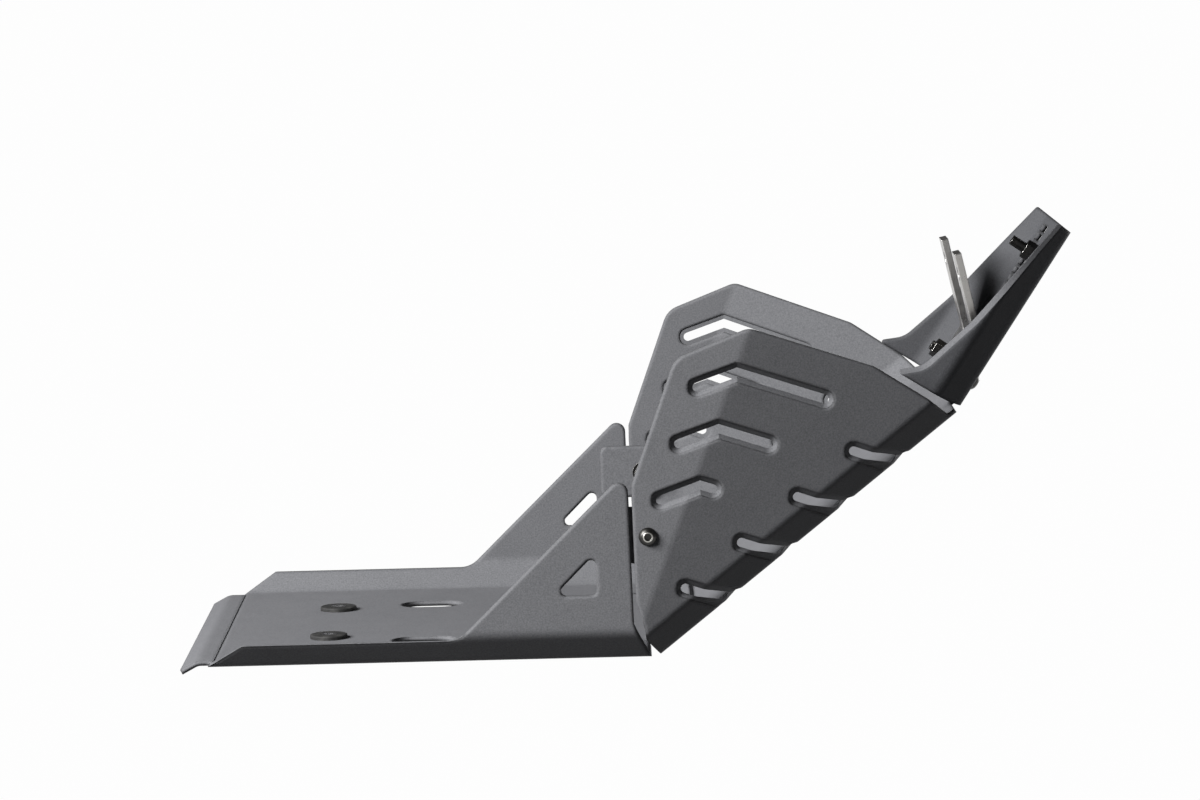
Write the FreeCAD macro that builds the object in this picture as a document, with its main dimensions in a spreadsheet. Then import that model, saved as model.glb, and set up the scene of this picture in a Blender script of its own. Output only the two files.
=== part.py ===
# Engine guard of a motorbike: three folded sheet panels, bolted together under and before the engine.
# Frame: +X forward, +Y to the left-hand side, +Z up, millimetres and degrees.
# The origin lies between the two rear mounts, on the underside of the belly panel.
import FreeCAD, Part
import math
import os
import Sketcher

doc = FreeCAD.newDocument("engine_guard")
sheet = doc.addObject("Spreadsheet::Sheet", "sizes")

# Driving dimensions
driving = {
    # Sheet and bends
    "stock": 3.0,
    "bend_outer": 9.0,
    "bevel_leg": 16.0,
    "block": 700.0,
    "guard_half": 152.0,
    # Belly panel
    "belly_rear": -65.0,
    "belly_front": 188.8,
    "corner_round": 3.0,
    "flange_toe": 0.4,
    "flange_top": 14.0,
    "flange_rear": -44.0,
    "flange_front": 78.2,
    "flange_blend": 15.0,
    "gusset_apex_x": 176.6,
    "gusset_apex_z": 109.4,
    "gusset_round": 5.5,
    "gusset_front": 178.6,
    "gusset_foot": 21.5,
    "window_front": 158.0,
    "window_bottom": 38.5,
    "window_leg": 24.5,
    "window_round": 3.0,
    "lip_start": -71.0,
    "lip_reach": 9.0,
    "lip_angle": 28.0,
    "lip_half": 128.0,
    "belly_tongue_root": 180.0,
    "belly_tongue_half": 92.0,
    "belly_tongue_end": 28.0,
    "relief": 3.0,
    "drain_x": 56.0,
    "drain_y": 70.0,
    "drain_length": 36.0,
    "drain_width": 24.0,
    "rear_mount_y": 55.0,
    # Middle panel, measured along its plate and inward from it
    "middle_x": 193.7,
    "middle_z": 0.9,
    "middle_slope": 37.35,
    "middle_span": 224.0,
    "middle_waste": 6.8,
    "wing_waste": 8.0,
    "wing_lean": 0.18,
    "fold_start": 20.5,
    "fold_rise": 0.6102,
    "bevel_bend": 5.0,
    "wing_bend": 8.0,
    "slot_width": 10.0,
    "chevron_u": 135.3,
    "chevron_h": 101.0,
    "chevron_step_u": 28.1,
    "chevron_step_h": 18.6,
    "chevron_rear_u": 22.8,
    "chevron_rear_h": 7.5,
    "chevron_long": 52.5,
    "chevron_shorter": 22.5,
    "slot_fall": 56.9,
    "front_slot_u": 37.0,
    "front_slot_h": 22.8,
    "front_slot_pitch": 41.1,
    "front_slot_reach": 25.0,
    "front_slot_margin": 52.0,
    "middle_tongue_half": 68.0,
    "middle_tongue_length": 24.0,
    # Upper panel, measured along its plate and inward from it
    "upper_gap": 3.9052,
    "upper_drop": 2.6928,
    "upper_slope": 55.8,
    "upper_length": 118.0,
    "upper_low_half": 75.0,
    "upper_toe": 12.0,
    "upper_bevel": 17.0,
    "upper_wing": 60.0,
    "vent_length": 27.0,
    "vent_width": 4.4,
    "vent_pitch": 6.0,
    "vent_count": 8,
    "vent_inset": 7.9,
    "vent_margin": 6.0,
    # Joint plates behind the side seams
    "plate_rear": 161.0,
    "plate_front": 196.0,
    "plate_bottom": 56.0,
    "plate_top": 88.0,
    "plate_round": 4.0,
    # Hanger straps
    "strap_stock": 4.0,
    "strap_width": 25.0,
    "strap_y": 55.0,
    "strap_bend": 35.0,
    "strap_foot": 3.0,
    "strap_length": 57.0,
    "strap_lean": 12.68,
    "strap_bend_outer": 8.0,
    "strap_hole": 8.5,
    "strap_hole_end": 12.2,
    # Fasteners
    "screw_dia": 6.0,
    "screw_hole": 6.6,
    "head_dia": 10.5,
    "head_height": 3.3,
    "socket_size": 4.0,
    "socket_depth": 2.0,
    "nut_size": 10.0,
    "nut_flange": 13.6,
    "nut_flange_height": 1.4,
    "nut_height": 8.0,
    "head_rim": 0.6,
    "head_crown": 4.7,
    "head_bulge": 0.35,
    "long_screw": 20.0,
    "short_screw": 16.0,
    "side_screw_x": 187.6,
    "side_screw_z": 71.4,
    "lower_screw_u": 14.0,
    "lower_screw_y": 60.0,
    "hanger_screw_u": 14.5,
    "upper_screw_inset": 23.0,
    # Rear grommets and sleeves
    "grommet_dia": 22.0,
    "grommet_neck": 15.0,
    "grommet_lip": 2.5,
    "grommet_round": 1.0,
    "sleeve_dia": 9.0,
    "sleeve_bore": 6.5,
    "sleeve_flange": 18.0,
    "sleeve_flange_height": 1.5,
    "sleeve_round": 0.4,
}
# Side outlines of the two sloping panels: along the plate, inward from it, corner radius
# The front corners are measured back from the top end of their panel
middle_front = [(0.0, 3.4, 0.0), (4.7, 3.4, 0.0), (7.5, 18.4, 4.0), (19.8, 53.3, 12.0)]
middle_outline = [
    (156.1, 116.5, 10.0), (112.6, 129.1, 14.0), (49.0, 88.4, 5.0), (44.0, 82.0, 5.0), (9.8, 35.2, 6.0),
    (3.5, 19.7, 6.0), (0.0, 13.5, 0.0),
]
upper_front = [(-1.0, 10.2, 1.5)]
upper_outline = [(45.0, 22.6, 90.0), (8.2, 32.8, 16.0), (-2.8, 45.2, 1.5), (-1.4, 8.0, 3.0)]
# Room to spare around a panel for its cuts, the least length of a fold, and how square a face is to an axis
clear = 1.0
beyond = 600.0
fold_min = 100.0
square_on = 0.99

for row, (alias, value) in enumerate(driving.items(), start=1):
    sheet.set(f"A{row}", alias)
    sheet.set(f"B{row}", str(value))
    sheet.setAlias(f"B{row}", alias)
doc.recompute()


def size(alias):
    return float(getattr(sheet, alias))


def bind(target, prop, formula):
    target.setExpression(prop, formula)


def vec(x, y, z=0.0):
    return FreeCAD.Vector(x, y, z)


# Sketch helpers
def new_body(label, base=None, turn=None):
    body = doc.addObject("PartDesign::Body", label)
    body.Label = label
    if turn is not None:
        body.Placement = FreeCAD.Placement(vec(0, 0, 0), turn)
    for axis, formula in zip("xyz", base or ()):
        bind(body, f".Placement.Base.{axis}", formula)
    return body


def sketch_on(body, label, role, offset=0.0, turn=None):
    plane = next(item for item in body.Origin.OriginFeatures if item.Role == role)
    sketch = body.newObject("Sketcher::SketchObject", label)
    sketch.AttachmentSupport = [(plane, "")]
    sketch.MapMode = "FlatFace"
    sketch.AttachmentOffset = FreeCAD.Placement(vec(0, 0, offset), turn or FreeCAD.Rotation())
    return sketch


def close_chain(sketch, first, last):
    indices = list(range(first, last + 1))
    for here, after in zip(indices, indices[1:] + indices[:1]):
        ends = [(a, b) for a in (1, 2) for b in (1, 2)]
        gaps = [(sketch.getPoint(here, a) - sketch.getPoint(after, b)).Length for a, b in ends]
        a, b = ends[gaps.index(min(gaps))]
        sketch.addConstraint(Sketcher.Constraint("Coincident", here, a, after, b))


# A closed outline through (x, y, radius) corners, each rounded by a tangent arc
def outline(sketch, corners):
    spans = []
    for index, (x, y, radius) in enumerate(corners):
        here = vec(x, y)
        before = (vec(*corners[index - 1][:2]) - here).normalize()
        after = (vec(*corners[(index + 1) % len(corners)][:2]) - here).normalize()
        half = before.getAngle(after) / 2
        reach = radius / math.tan(half)
        crown = (before + after).normalize() if radius else vec(0, 0)
        middle = here + crown * (radius / math.sin(half) - radius)
        spans.append((here + before * reach, middle, here + after * reach, radius))
    first = sketch.GeometryCount
    for index, (start, middle, end, radius) in enumerate(spans):
        if radius:
            sketch.addGeometry(Part.Arc(start, middle, end), False)
        sketch.addGeometry(Part.LineSegment(end, spans[(index + 1) % len(spans)][0]), False)
    close_chain(sketch, first, sketch.GeometryCount - 1)


def rectangle(sketch, low, high, radius=0.0):
    corners = [low, (high[0], low[1]), high, (low[0], high[1])]
    outline(sketch, [(x, y, radius) for x, y in corners])


# Corners of a bent strip: its outer path, then the same path one thickness to the left
def strip(path, thickness):
    outer = []
    inner = []
    for index, (x, y, radius) in enumerate(path):
        here = vec(x, y)
        ahead = vec(*path[min(index + 1, len(path) - 1)][:2]) - here
        behind = here - vec(*path[max(index - 1, 0)][:2])
        ahead = (ahead if ahead.Length else behind).normalize()
        behind = (behind if behind.Length else ahead).normalize()
        left = (vec(-ahead.y, ahead.x) + vec(-behind.y, behind.x)).normalize()
        shift = thickness / left.dot(vec(-ahead.y, ahead.x))
        turns_left = behind.x * ahead.y - behind.y * ahead.x > 0
        tight = max(radius - thickness, 0.0)
        outer.append((x, y, radius if turns_left else tight))
        inner.append((x + left.x * shift, y + left.y * shift, tight if turns_left else radius))
    return outer + inner[::-1]


# A channel section: plate, bevels and wings, given by one half from the plate's edge to the wing's top
def channel(sketch, half, thickness):
    left = [(-x, y, radius) for x, y, radius in reversed(half)]
    outline(sketch, strip(left + half, thickness))


# A slot of even width with round ends along a path of two or three points
def slot(sketch, path, width):
    points = [vec(*point) for point in path]
    steps = [(b - a).normalize() for a, b in zip(points, points[1:])]
    sides = []
    for index, point in enumerate(points):
        near = steps[max(index - 1, 0)]
        far = steps[min(index, len(steps) - 1)]
        across = (vec(-near.y, near.x) + vec(-far.y, far.x)).normalize()
        sides.append(across * (width / 2 / across.dot(vec(-far.y, far.x))))
    first = sketch.GeometryCount
    last = len(points) - 1
    for index in range(last):
        a, b = points[index] + sides[index], points[index + 1] + sides[index + 1]
        sketch.addGeometry(Part.LineSegment(a, b), False)
    tip = points[last] + steps[-1] * (width / 2)
    sketch.addGeometry(Part.Arc(points[last] + sides[last], tip, points[last] - sides[last]), False)
    for index in range(last, 0, -1):
        a, b = points[index] - sides[index], points[index - 1] - sides[index - 1]
        sketch.addGeometry(Part.LineSegment(a, b), False)
    tip = points[0] - steps[0] * (width / 2)
    sketch.addGeometry(Part.Arc(points[0] - sides[0], tip, points[0] + sides[0]), False)
    close_chain(sketch, first, sketch.GeometryCount - 1)


def circle(sketch, x, y, formula):
    index = sketch.addGeometry(Part.Circle(vec(x, y), vec(0, 0, 1), 1.0), False)
    sketch.addConstraint(Sketcher.Constraint("DistanceX", -1, 1, index, 3, x))
    sketch.addConstraint(Sketcher.Constraint("DistanceY", -1, 1, index, 3, y))
    rule = sketch.addConstraint(Sketcher.Constraint("Diameter", index, 2.0))
    bind(sketch, f"Constraints[{rule}]", formula)


def hexagon(sketch, across):
    corner = across / math.sqrt(3)
    turns = [math.radians(60 * step) for step in range(6)]
    outline(sketch, [(corner * math.cos(turn), corner * math.sin(turn), 0.0) for turn in turns])


# Feature helpers
def pad(body, label, sketch, formula, midplane=False):
    feature = body.newObject("PartDesign::Pad", label)
    feature.Profile = sketch
    feature.Midplane = midplane
    bind(feature, "Length", formula)
    doc.recompute()
    return feature


def cut(body, label, sketch, formula=None, midplane=True, reverse=False):
    before = body.Shape.Volume
    feature = body.newObject("PartDesign::Pocket", label)
    feature.Profile = sketch
    feature.Midplane = midplane
    feature.Reversed = reverse
    if formula:
        bind(feature, "Length", formula)
    else:
        feature.Type = "ThroughAll"
    doc.recompute()
    if body.Shape.Volume > before - 1.0:
        raise RuntimeError(f"{label} cuts nothing")
    return feature


# Edges that run the length of a channel along X, below the given height
def folds(body, height, chosen=None):
    names = []
    for index, edge in enumerate(body.Shape.Edges, start=1):
        first, last = edge.Vertexes[0].Point, edge.Vertexes[-1].Point
        local = [body.Placement.inverse().multVec(point) for point in (first, last)]
        run = abs(local[0].x - local[1].x)
        if run > fold_min and max(point.z for point in local) < height:
            if chosen is None or chosen(local[0], local[1]):
                names.append(f"Edge{index}")
    return names


def dress(body, kind, label, names, prop, formula):
    base = body.Tip
    feature = body.newObject(f"PartDesign::{kind}", label)
    feature.Base = (base, names)
    bind(feature, prop, formula)
    doc.recompute()
    return feature


# Hollows a block into a channel of one sheet, open at both ends and at the top
def hollow(body, label, height):
    base = body.Tip
    names = []
    for index, face in enumerate(body.Shape.Faces, start=1):
        normal = body.Placement.Rotation.inverted().multVec(face.normalAt(0.5, 0.5))
        centre = body.Placement.inverse().multVec(face.CenterOfMass)
        at_end = abs(normal.x) > square_on
        at_top = abs(normal.z) > square_on and centre.z > height / 2
        if face.Surface.TypeId == "Part::GeomPlane" and (at_end or at_top):
            names.append(f"Face{index}")
    feature = body.newObject("PartDesign::Thickness", label)
    feature.Base = (base, names)
    feature.Reversed = True
    feature.Join = 0
    bind(feature, "Value", "sizes.stock")
    doc.recompute()
    return feature


def mirror(body, label, originals):
    feature = body.newObject("PartDesign::Mirrored", label)
    feature.Originals = originals
    feature.MirrorPlane = (next(i for i in body.Origin.OriginFeatures if i.Role == "XZ_Plane"), [""])
    body.Tip = feature
    doc.recompute()
    return feature


# The corners of a sloping panel's side outline, from its foot round by its top end
def side_corners(top, front, rest):
    foot = [(0.0, -clear, 0.0), (top, -clear, 0.0)]
    return foot + [(top - back, inward, rounding) for back, inward, rounding in front] + rest


# Everything outside the side outline of a panel goes
def trim(body, label, corners):
    sketch = sketch_on(body, f"{label}_outline", "XZ_Plane")
    rectangle(sketch, (-beyond, -beyond), (beyond, beyond))
    outline(sketch, corners)
    return cut(body, label, sketch)


stock = size("stock")
bend = size("bend_outer")
bevel = size("bevel_leg")
guard_half = size("guard_half")
slope = math.radians(size("middle_slope"))
middle_turn = FreeCAD.Rotation(vec(0, -1, 0), size("middle_slope"))
upper_turn = FreeCAD.Rotation(vec(0, -1, 0), size("upper_slope"))
middle_frame = FreeCAD.Placement(vec(size("middle_x"), 0, size("middle_z")), middle_turn)
middle_top = size("middle_span") - size("middle_waste")
upper_foot = middle_frame.multVec(vec(middle_top + size("upper_gap"), 0, -size("upper_drop")))
upper_frame = FreeCAD.Placement(upper_foot, upper_turn)
upper_run = "(sizes.middle_span - sizes.middle_waste + sizes.upper_gap)"
level, upright = "cos(sizes.middle_slope)", "sin(sizes.middle_slope)"
upper_x = f"sizes.middle_x + {upper_run} * {level} + sizes.upper_drop * {upright}"
upper_z = f"sizes.middle_z + {upper_run} * {upright} - sizes.upper_drop * {level}"
upper_screw_u = size("upper_length") - size("upper_screw_inset")


# Belly panel: a channel under the engine with a gusset at each side, a rear lip and a front tongue
def belly_panel():
    body = new_body("belly_panel")
    section = sketch_on(body, "belly_section", "YZ_Plane", size("belly_rear"))
    channel(section, [(guard_half - bevel, 0.0, bend), (guard_half, bevel, bend),
                      (guard_half, size("gusset_apex_z"), 0.0)], stock)
    pad(body, "belly_channel", section, "sizes.belly_front - sizes.belly_rear")
    front, top, corner = size("belly_front"), size("flange_top"), size("corner_round")
    trim(body, "belly_trim", [
        (size("belly_rear"), -clear, 0.0), (front, -clear, 0.0),
        (size("gusset_front"), size("gusset_foot"), corner),
        (size("gusset_apex_x"), size("gusset_apex_z"), size("gusset_round")),
        (size("flange_front"), top, size("flange_blend")), (size("flange_rear"), top, corner),
        (size("belly_rear"), size("flange_toe"), 0.0)])
    window = sketch_on(body, "gusset_window", "XZ_Plane")
    right, low, leg = size("window_front"), size("window_bottom"), size("window_leg")
    rounding = size("window_round")
    outline(window, [(right, low, rounding), (right, low + leg, rounding), (right - leg, low, rounding)])
    cut(body, "gusset_windows", window)
    notch = sketch_on(body, "tongue_notch", "XY_Plane")
    root, half = size("belly_tongue_root"), size("belly_tongue_half") + size("relief")
    rectangle(notch, (root, -half), (front + bend, half))
    cut(body, "tongue_relief", notch)
    lip_end = size("lip_start") - size("lip_reach")
    lip_drop = size("lip_reach") * math.tan(math.radians(size("lip_angle")))
    lip = sketch_on(body, "lip_section", "XZ_Plane")
    outline(lip, strip([(lip_end, -lip_drop, 0.0), (size("lip_start"), 0.0, bend),
                        (size("belly_rear") + stock, 0.0, 0.0)], stock))
    pad(body, "rear_lip", lip, "2 * sizes.lip_half", midplane=True)
    tongue = sketch_on(body, "belly_tongue_section", "XZ_Plane")
    seat = middle_frame.multVec(vec(0, 0, stock))
    knee = seat.x - seat.z / math.tan(slope)
    end = middle_frame.multVec(vec(size("belly_tongue_end"), 0, stock))
    outline(tongue, strip([(root - stock, 0.0, 0.0), (knee, 0.0, 2 * stock), (end.x, end.z, 0.0)], stock))
    pad(body, "belly_tongue", tongue, "2 * sizes.belly_tongue_half", midplane=True)
    holes = sketch_on(body, "belly_openings", "XY_Plane")
    for side in (-1, 1):
        y = side * size("drain_y")
        run = (size("drain_length") - size("drain_width")) / 2
        slot(holes, [(size("drain_x") - run, y), (size("drain_x") + run, y)], size("drain_width"))
        circle(holes, 0.0, side * size("rear_mount_y"), "sizes.grommet_neck")
    cut(body, "belly_holes", holes)
    bolts = sketch_on(body, "belly_tongue_bolts", "XY_Plane", 0.0, middle_turn)
    bolts.AttachmentOffset = middle_frame
    for side in (-1, 1):
        circle(bolts, size("lower_screw_u"), side * size("lower_screw_y"), "sizes.screw_hole")
    cut(body, "belly_tongue_holes", bolts, "6 * sizes.stock")
    return body


# Middle panel: a channel that narrows upward, its wings folded once more along the chevrons
def middle_panel():
    body = new_body("middle_panel", ("sizes.middle_x", "0", "sizes.middle_z"), middle_turn)
    span, lean, rise = size("middle_span"), size("wing_lean"), size("fold_rise")
    wing = size("fold_start") + rise * span + size("wing_waste")
    block = sketch_on(body, "middle_block", "XY_Plane")
    rectangle(block, (0.0, -guard_half), (span, guard_half))
    fold_end = "sizes.fold_start + sizes.fold_rise * sizes.middle_span"
    pad(body, "middle_solid", block, f"{fold_end} + sizes.wing_waste")
    for side, hand in ((-1, "right"), (1, "left")):
        shave = body.newObject("PartDesign::SubtractiveBox", f"middle_shave_{hand}")
        for prop in ("Length", "Width", "Height"):
            bind(shave, prop, "sizes.block")
        face = FreeCAD.Rotation(vec(0, 0, 1), vec(lean * rise, side, -lean))
        corner = face.multVec(vec(size("block") / 2, size("block") / 2, 0))
        shave.Placement = FreeCAD.Placement(vec(0, side * guard_half, size("fold_start")) - corner, face)
        doc.recompute()
    dress(body, "Chamfer", "middle_bevels", folds(body, clear), "Size", "sizes.bevel_leg")
    aslant_folds = folds(body, wing - clear, lambda a, b: abs(a.z - b.z) > bevel)
    dress(body, "Fillet", "wing_bends", aslant_folds, "Radius", "sizes.wing_bend")
    plate_folds = folds(body, 2 * bevel, lambda a, b: min(a.z, b.z) < clear)
    dress(body, "Fillet", "middle_bends", plate_folds, "Radius", "sizes.bend_outer")
    level_folds = folds(body, 2 * bevel, lambda a, b: abs(a.z - b.z) < 2 * clear and a.z > bevel / 2)
    dress(body, "Fillet", "bevel_bends", level_folds, "Radius", "sizes.bevel_bend")
    hollow(body, "middle_sheet", wing)
    trim(body, "middle_trim", side_corners(middle_top, middle_front, middle_outline))
    fall = math.radians(size("slot_fall"))
    along = (math.cos(fall), -math.sin(fall))
    chevrons = sketch_on(body, "chevron_slots", "XZ_Plane")
    for index in range(3):
        u = size("chevron_u") - index * size("chevron_step_u")
        inward = size("chevron_h") - index * size("chevron_step_h")
        reach = size("chevron_long") - index * size("chevron_shorter")
        rear = (u - size("chevron_rear_u"), inward + size("chevron_rear_h"))
        front = (u + reach * along[0], inward + reach * along[1])
        slot(chevrons, [rear, (u, inward), front], size("slot_width"))
    cut(body, "chevrons", chevrons)
    edge_low = guard_half - lean * size("fold_start") - bevel
    taper = lean * rise
    outside = guard_half + bend
    aslant = FreeCAD.Rotation(vec(0, 1, 0), math.degrees(math.atan(taper)))
    sides = sketch_on(body, "front_slots_side", "XZ_Plane", outside, aslant)
    plates = sketch_on(body, "front_slots_plate", "XY_Plane")
    drop = size("front_slot_h") / math.tan(fall)
    reach = size("front_slot_reach")
    room = middle_top - size("front_slot_u") - size("front_slot_margin")
    for index in range(1 + int(room // size("front_slot_pitch"))):
        u = size("front_slot_u") + index * size("front_slot_pitch")
        inward = size("front_slot_h")
        length = (inward + stock) / math.sin(fall)
        slot(sides, [(u, inward), (u + length * along[0], inward + length * along[1])], size("slot_width"))
        edge = edge_low - taper * (u + drop)
        rise = reach / math.tan(fall)
        for side in (-1, 1):
            ends = [(u + drop, side * edge), (u + drop + rise, side * (edge - reach))]
            slot(plates, ends, size("slot_width"))
    depth = f"sizes.guard_half + sizes.bend_outer - {edge_low} + sizes.stock"
    near = cut(body, "front_slots", sides, depth, midplane=False)
    mirror(body, "front_slots_both", [near])
    cut(body, "front_slot_ends", plates, "4 * sizes.stock")
    tongue = sketch_on(body, "middle_tongue_section", "XZ_Plane")
    turn = math.radians(size("upper_slope") - size("middle_slope"))
    seat = middle_frame.inverse().multVec(upper_frame.multVec(vec(0, 0, stock)))
    knee = seat.x - seat.z / math.tan(turn)
    length = size("middle_tongue_length")
    outline(tongue, strip([(middle_top - 4 * stock, 0.0, 0.0), (knee, 0.0, 2 * stock),
                           (knee + length * math.cos(turn), length * math.sin(turn), 0.0)], stock))
    pad(body, "middle_tongue", tongue, "2 * sizes.middle_tongue_half", midplane=True)
    side_holes = sketch_on(body, "side_screw_holes", "XZ_Plane")
    spot = middle_frame.inverse().multVec(vec(size("side_screw_x"), 0, size("side_screw_z")))
    circle(side_holes, spot.x, spot.z, "sizes.screw_hole")
    cut(body, "side_holes", side_holes)
    plate_holes = sketch_on(body, "lower_screw_holes", "XY_Plane")
    for side in (-1, 1):
        circle(plate_holes, size("lower_screw_u"), side * size("lower_screw_y"), "sizes.screw_hole")
    cut(body, "lower_holes", plate_holes, "4 * sizes.stock")
    tongue_holes = sketch_on(body, "tongue_screw_holes", "XY_Plane")
    tongue_holes.AttachmentOffset = middle_frame.inverse().multiply(upper_frame)
    for side in (-1, 1):
        circle(tongue_holes, size("hanger_screw_u"), side * size("strap_y"), "sizes.screw_hole")
    cut(body, "tongue_holes", tongue_holes, "6 * sizes.stock")
    return body


# Upper panel: a short channel that narrows upward, with two ladders of vents in its plate
def upper_panel():
    body = new_body("upper_panel", (upper_x, "0", upper_z), upper_turn)
    length, leg = size("upper_length"), size("upper_bevel")
    start = -2 * stock

    def half_at(u):
        return size("upper_low_half") - size("upper_toe") * u / length

    block = sketch_on(body, "upper_block", "XY_Plane")
    far = length + stock
    outline(block, [(start, -half_at(start) - leg, 0.0), (far, -half_at(far) - leg, 0.0),
                    (far, half_at(far) + leg, 0.0), (start, half_at(start) + leg, 0.0)])
    pad(body, "upper_solid", block, "sizes.upper_wing")
    dress(body, "Chamfer", "upper_bevels", folds(body, clear), "Size", "sizes.upper_bevel")
    dress(body, "Fillet", "upper_bends", folds(body, 2 * leg), "Radius", "sizes.bend_outer")
    hollow(body, "upper_sheet", size("upper_wing"))
    trim(body, "upper_trim", side_corners(length, upper_front, upper_outline))
    vents = sketch_on(body, "vent_ladders", "XY_Plane")
    for index in range(int(size("vent_count"))):
        u = length - size("vent_inset") - index * size("vent_pitch")
        outer = half_at(u) - size("vent_margin") - bend / 2
        low, high = u - size("vent_width") / 2, u + size("vent_width") / 2
        for side in (-1, 1):
            ends = sorted((side * outer, side * (outer - size("vent_length"))))
            rectangle(vents, (low, ends[0]), (high, ends[1]))
    cut(body, "vents", vents, "4 * sizes.stock")
    holes = sketch_on(body, "upper_screw_holes", "XY_Plane")
    for side in (-1, 1):
        circle(holes, size("hanger_screw_u"), side * size("strap_y"), "sizes.screw_hole")
    circle(holes, upper_screw_u, 0.0, "sizes.screw_hole")
    cut(body, "upper_holes", holes, "4 * sizes.stock")
    return body


# Flat plate behind the seam between a gusset and the middle panel, welded to the gusset
def joint_plate(label, side):
    body = new_body(label)
    face = guard_half - stock
    sketch = sketch_on(body, f"{label}_outline", "XZ_Plane", face - stock if side < 0 else -face)
    rear, front, rounding = size("plate_rear"), size("plate_front"), size("plate_round")
    low, high = size("plate_bottom"), size("plate_top")
    rectangle(sketch, (rear, low), (front, high), rounding)
    circle(sketch, size("side_screw_x"), size("side_screw_z"), "sizes.screw_hole")
    pad(body, f"{label}_pad", sketch, "sizes.stock")
    return body


# Hanger strap: a bent flat bar whose foot lies behind the upper joint and whose eye takes an engine bolt
def hanger_strap(label, side):
    body = new_body(label, (upper_x, f"{side} * sizes.strap_y", upper_z), upper_turn)
    seat = 2 * stock
    knee = size("strap_bend")
    turn = math.radians(90 + size("strap_lean") - size("upper_slope"))
    length = size("strap_length")
    end = (knee + length * math.cos(turn), seat + length * math.sin(turn), 0.0)
    sketch = sketch_on(body, f"{label}_section", "XZ_Plane")
    outline(sketch, strip([(size("strap_foot"), seat, 0.0), (knee, seat, size("strap_bend_outer")), end],
                          size("strap_stock")))
    pad(body, f"{label}_bar", sketch, "sizes.strap_width", midplane=True)
    foot = sketch_on(body, f"{label}_foot_hole", "XY_Plane")
    circle(foot, size("hanger_screw_u"), 0.0, "sizes.screw_hole")
    cut(body, f"{label}_foot", foot, "8 * sizes.stock")
    eye = sketch_on(body, f"{label}_eye_hole", "XY_Plane")
    reach = length - size("strap_hole_end")
    spot = vec(knee + reach * math.cos(turn), 0, seat + reach * math.sin(turn))
    eye.AttachmentOffset = FreeCAD.Placement(spot, FreeCAD.Rotation(vec(0, -1, 0), math.degrees(turn)))
    circle(eye, 0.0, 0.0, "sizes.strap_hole")
    cut(body, f"{label}_eye", eye, "4 * sizes.strap_stock")
    return body


# Button-head screw: its head stands on +Z, its shank runs down -Z from the seat
def button_screw(label, place, length):
    body = new_body(label)
    body.Placement = place
    profile = sketch_on(body, f"{label}_profile", "XZ_Plane")
    radius, rim, top = size("head_dia") / 2, size("head_rim"), size("head_height")
    crown, core, deep = size("head_crown") / 2, size("screw_dia") / 2, size(length)
    corners = [vec(0, top), vec(crown, top), vec(radius, rim), vec(radius, 0), vec(core, 0),
               vec(core, -deep), vec(0, -deep)]
    for a, b in zip(corners, corners[1:] + corners[:1]):
        if a == corners[1]:
            bulge = vec((crown + radius) / 2 + size("head_bulge"), (top + rim) / 2 + size("head_bulge"))
            profile.addGeometry(Part.Arc(a, bulge, b), False)
        else:
            profile.addGeometry(Part.LineSegment(a, b), False)
    close_chain(profile, 0, profile.GeometryCount - 1)
    turned = body.newObject("PartDesign::Revolution", f"{label}_turned")
    turned.Profile = profile
    turned.ReferenceAxis = (profile, ["V_Axis"])
    turned.Angle = 360.0
    doc.recompute()
    socket = sketch_on(body, f"{label}_socket", "XY_Plane", top)
    hexagon(socket, size("socket_size"))
    cut(body, f"{label}_drive", socket, "sizes.socket_depth", midplane=False)
    return body


# Flange nut: its flange lies on the seat at z = 0 and its hexagon stands on +Z
def flange_nut(label, place):
    body = new_body(label)
    body.Placement = place
    flange = sketch_on(body, f"{label}_flange", "XY_Plane")
    circle(flange, 0.0, 0.0, "sizes.nut_flange")
    circle(flange, 0.0, 0.0, "sizes.screw_dia")
    pad(body, f"{label}_washer", flange, "sizes.nut_flange_height")
    hexed = sketch_on(body, f"{label}_hexagon", "XY_Plane")
    hexagon(hexed, size("nut_size"))
    circle(hexed, 0.0, 0.0, "sizes.screw_dia")
    pad(body, f"{label}_body", hexed, "sizes.nut_height")
    return body


def group(label, bodies):
    bundle = doc.addObject("Part::Compound", label)
    bundle.Label = label
    bundle.Links = bodies
    doc.recompute()
    return bundle


def seat_at(frame, u, y, height, flip):
    turn = FreeCAD.Rotation(vec(1, 0, 0), 180 if flip else 0)
    return frame.multiply(FreeCAD.Placement(vec(u, y, height), turn))


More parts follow.
